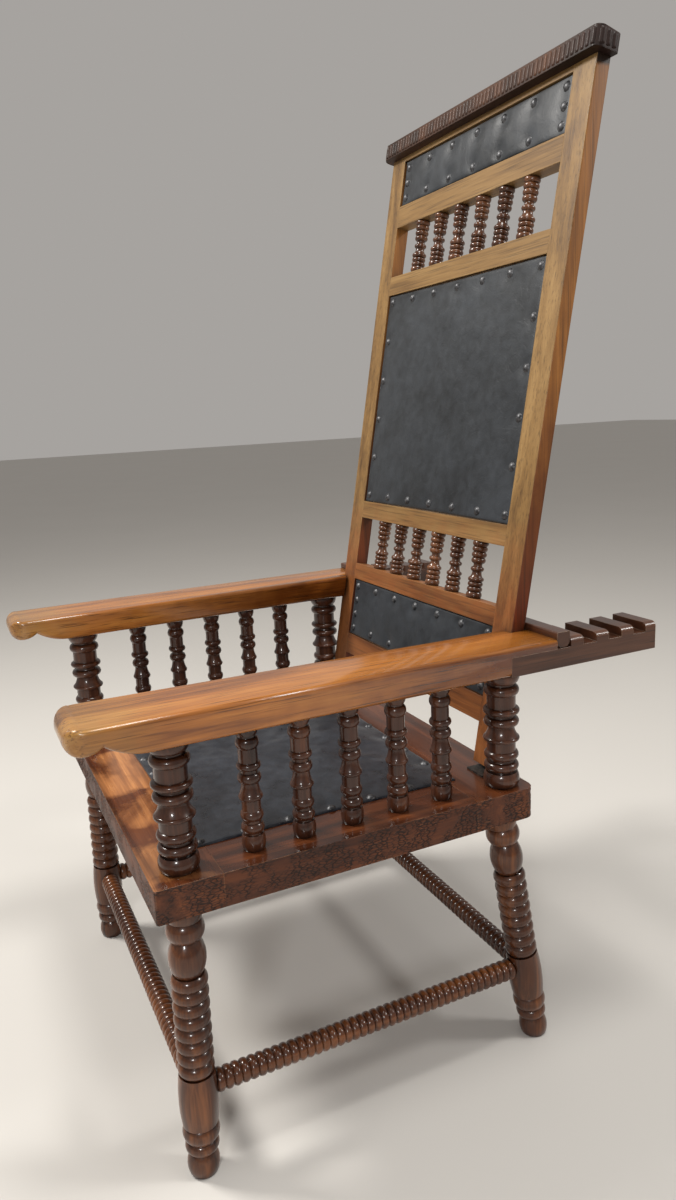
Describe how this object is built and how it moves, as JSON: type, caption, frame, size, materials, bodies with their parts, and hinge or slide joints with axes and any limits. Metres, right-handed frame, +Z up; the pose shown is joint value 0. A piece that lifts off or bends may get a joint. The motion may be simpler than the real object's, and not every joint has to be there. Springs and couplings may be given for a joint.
{
  "type": "reclining armchair",
  "caption": "Tall-backed wooden reclining armchair with ringed turned legs and spindles, leather seat and back, and a loose crossbar that sets the back in notched racks.",
  "frame": {"origin": "on the floor under the centre of the chair's bounding box", "axes": "+Z up, the chair faces -Y, +X is the sitter's left"},
  "size_m": [0.612, 0.7488, 1.2839],
  "materials": {
    "arm_wood": "glossy worn varnish, orange brown",
    "seat_frame_wood": "dark red brown varnish, tooled outer faces",
    "turned_wood": "very dark glossy varnish",
    "back_wood": "worn golden brown varnish",
    "crest_wood": "dark stained, carved flutes",
    "crossbar_wood": "dark brown varnish",
    "hidden_board": "bare dark board",
    "leather": "black leather, soft sheen",
    "nail_head": "dark domed upholstery nails",
    "hinge_iron": "dark iron"
  },
  "bodies": {
    "chair_frame": {"corner_blocks": "hidden_board", "front_left_leg": "turned_wood", "front_left_post": "turned_wood", "front_right_leg": "turned_wood", "front_right_post": "turned_wood", "front_seat_rail": "seat_frame_wood", "front_stretcher": "turned_wood", "left_arm": "arm_wood", "left_arm_spindle_1": "turned_wood", "left_arm_spindle_2": "turned_wood", "left_arm_spindle_3": "turned_wood", "left_arm_spindle_4": "turned_wood", "left_arm_spindle_5": "turned_wood", "left_hinge_pin": "hinge_iron", "left_hinge_rail_leaf": "hinge_iron", "left_rack": "arm_wood", "left_seat_rail": "seat_frame_wood", "left_stretcher": "turned_wood", "rail_hinge_screws": "hinge_iron", "rear_left_leg": "turned_wood", "rear_left_post": "turned_wood", "rear_right_leg": "turned_wood", "rear_right_post": "turned_wood", "rear_seat_rail": "seat_frame_wood", "rear_stretcher": "turned_wood", "right_arm": "arm_wood", "right_arm_spindle_1": "turned_wood", "right_arm_spindle_2": "turned_wood", "right_arm_spindle_3": "turned_wood", "right_arm_spindle_4": "turned_wood", "right_arm_spindle_5": "turned_wood", "right_hinge_pin": "hinge_iron", "right_hinge_rail_leaf": "hinge_iron", "right_rack": "arm_wood", "right_seat_rail": "seat_frame_wood", "right_stretcher": "turned_wood", "seat_board": "hidden_board", "seat_leather": "leather", "seat_nails": "nail_head"},
    "back_frame": {"back_leather": "leather", "bottom_rail": "back_wood", "crest_rail": "crest_wood", "head_leather": "leather", "left_hinge_stile_leaf": "hinge_iron", "left_stile": "back_wood", "lower_back_spindles": "turned_wood", "lower_panel_rail": "back_wood", "lower_spindle_rail": "back_wood", "lumbar_leather": "leather", "panel_boards": "hidden_board", "panel_nails": "nail_head", "right_hinge_stile_leaf": "hinge_iron", "right_stile": "back_wood", "stile_hinge_screws": "hinge_iron", "top_rail": "back_wood", "upper_back_spindles": "turned_wood", "upper_panel_rail": "back_wood", "upper_spindle_rail": "back_wood"},
    "loose_crossbar": {"crossbar": "crossbar_wood"}
  },
  "joints": [
    {"name": "back_recline", "type": "hinge", "parent": "chair_frame", "child": "back_frame", "pos_m": [0, 0.18333, 0.3895], "axis": [-1, 0, 0], "range_deg": [-1, 0]},
    {"name": "crossbar_lift", "type": "slide", "parent": "chair_frame", "child": "loose_crossbar", "axis": [0, 0.1797, 0.9837], "range_m": [0, 0.06]}
  ]
}
